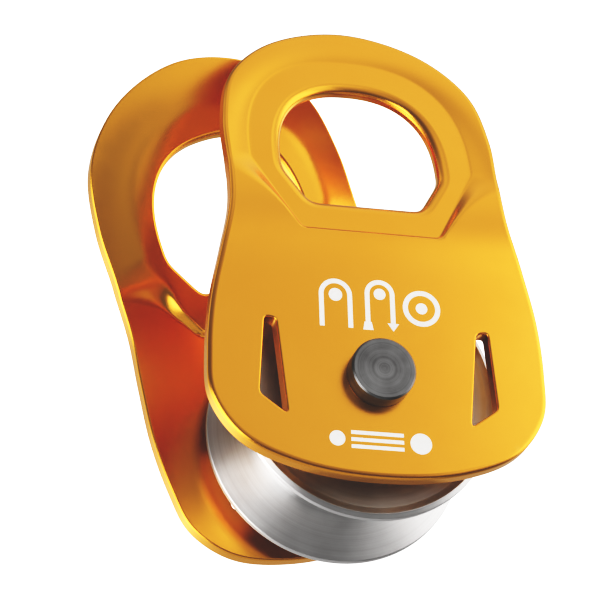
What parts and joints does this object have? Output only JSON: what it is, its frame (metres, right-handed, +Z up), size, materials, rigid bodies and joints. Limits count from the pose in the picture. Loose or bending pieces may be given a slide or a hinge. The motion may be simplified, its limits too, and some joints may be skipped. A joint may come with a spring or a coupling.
{
  "type": "rope pulley",
  "caption": "Small rope pulley: aluminium side plates with carabiner eyes swing on a steel axle that carries a deep-grooved turned sheave.",
  "frame": {"origin": "centre of the axle head's flat front face, on the axle's axis", "axes": "+Z up from the axle to the front plate's carabiner eye, +Y along the axle from the front plate to the rear plate, +X right as seen from the front"},
  "size_m": [0.0642, 0.037, 0.0832],
  "materials": {
    "gold_anodised_aluminium": "satin gold anodising",
    "turned_aluminium": "bright turned",
    "dark_steel": "dark turned",
    "ground_steel": "ground",
    "bearing_polymer": "dark bearing polymer",
    "white_print": "white printed ink, thin, on the front plate in the looks only"
  },
  "bodies": {
    "axle": {"axle_pin": "dark_steel", "axle_sleeve": "ground_steel", "rear_axle_collar": "dark_steel", "front_thrust_washer": "bearing_polymer", "rear_thrust_washer": "bearing_polymer"},
    "front_side_plate": {"front_plate": "gold_anodised_aluminium"},
    "rear_side_plate": {"rear_plate": "gold_anodised_aluminium"},
    "sheave_wheel": {"sheave": "turned_aluminium", "sheave_bushing": "bearing_polymer"}
  },
  "joints": [
    {"name": "front_plate_swing", "type": "hinge", "parent": "axle", "child": "front_side_plate", "pos_m": [0, 0.00435, 0], "axis": [0, 1, 0], "continuous": true},
    {"name": "rear_plate_swing", "type": "hinge", "parent": "axle", "child": "rear_side_plate", "pos_m": [0, 0.03325, 0], "axis": [0, 1, 0], "continuous": true},
    {"name": "sheave_spin", "type": "hinge", "parent": "axle", "child": "sheave_wheel", "pos_m": [0, 0.0188, 0], "axis": [0, 1, 0], "continuous": true}
  ]
}
